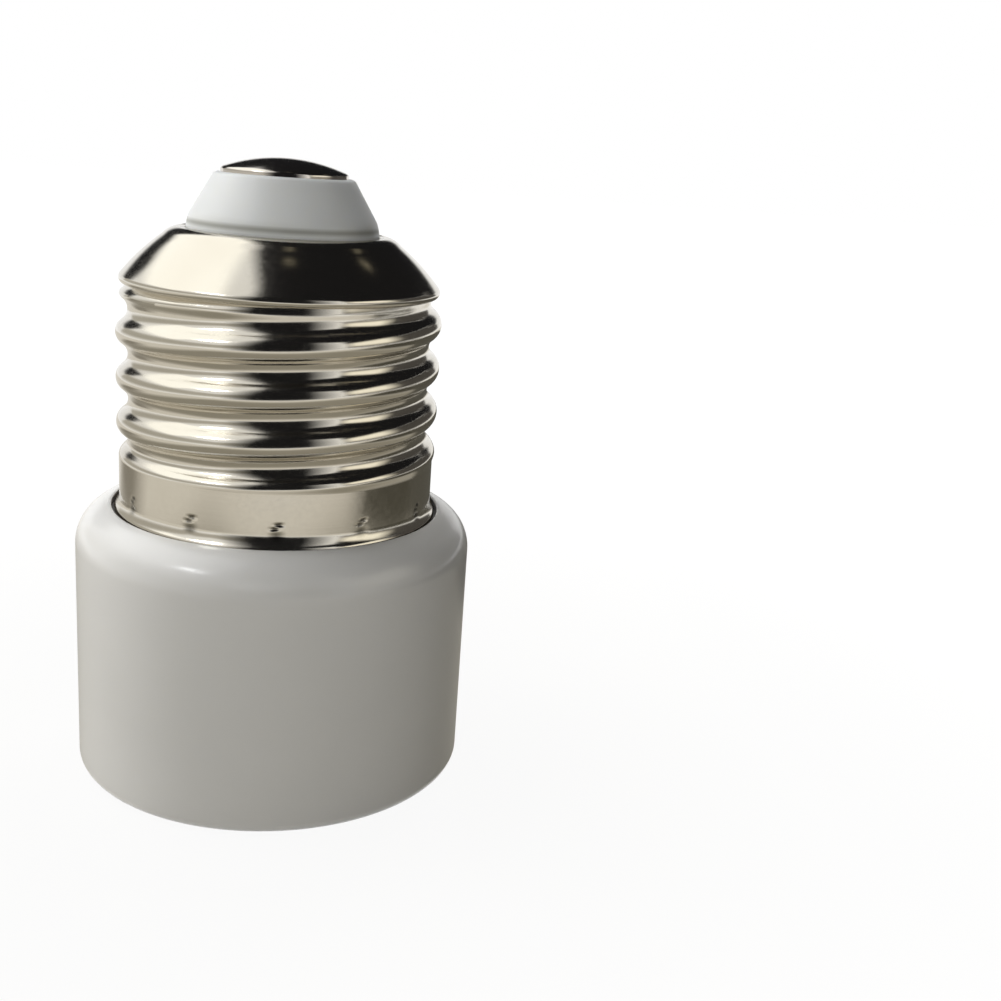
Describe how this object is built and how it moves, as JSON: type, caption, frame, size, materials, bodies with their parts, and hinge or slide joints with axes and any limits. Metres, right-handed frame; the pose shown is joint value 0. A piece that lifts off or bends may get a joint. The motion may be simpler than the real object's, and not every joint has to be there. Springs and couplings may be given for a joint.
{
  "type": "screw-in socket adapter",
  "caption": "Edison screw base with a round white socket body: screws into a lamp holder and takes a two-pin plug, with an indicator lamp in its face.",
  "frame": {"origin": "centre of the socket face's rim, on the plane that the part stands on", "axes": "+Z along the screw axis from the socket face to the centre contact, X through the two pin openings, +Y from the middle to the indicator lamp"},
  "size_m": [0.0328, 0.0328, 0.0506],
  "materials": {
    "white_plastic": "satin white moulding",
    "plated_shell": "warm nickel plate on thin sheet",
    "milky_plastic": "milky white moulding",
    "plated_contact": "nickel plate",
    "brass_strip": "bare brass strip",
    "red_lens": "polished red",
    "clear_glass": "clear glass",
    "nickel_wire": "tinned wire",
    "resistor_body": "matt lacquer",
    "clear_sleeve": "matt sleeve",
    "copper": "bare copper",
    "brown_sheath": "soft sheath",
    "blue_sheath": "soft sheath",
    "solder": "bright solder"
  },
  "bodies": {
    "root": {"housing": "white_plastic", "face_plate": "white_plastic", "screw_shell": "plated_shell", "nose_insulator": "milky_plastic", "centre_contact": "plated_contact", "centre_tag": "plated_contact", "contact_clip_right": "brass_strip", "contact_clip_left": "brass_strip", "indicator_lens": "red_lens", "neon_lamp": "clear_glass", "neon_electrodes": "nickel_wire", "neon_leads": "nickel_wire", "resistor": "resistor_body", "resistor_leads": "nickel_wire", "lead_sleeve": "clear_sleeve", "line_wire_core": "copper", "line_wire_sheath": "brown_sheath", "shell_wire_core": "copper", "shell_wire_sheath": "blue_sheath", "solder_clip_right": "solder", "solder_clip_left": "solder", "solder_tag": "solder", "solder_shell": "solder"}
  },
  "joints": []
}
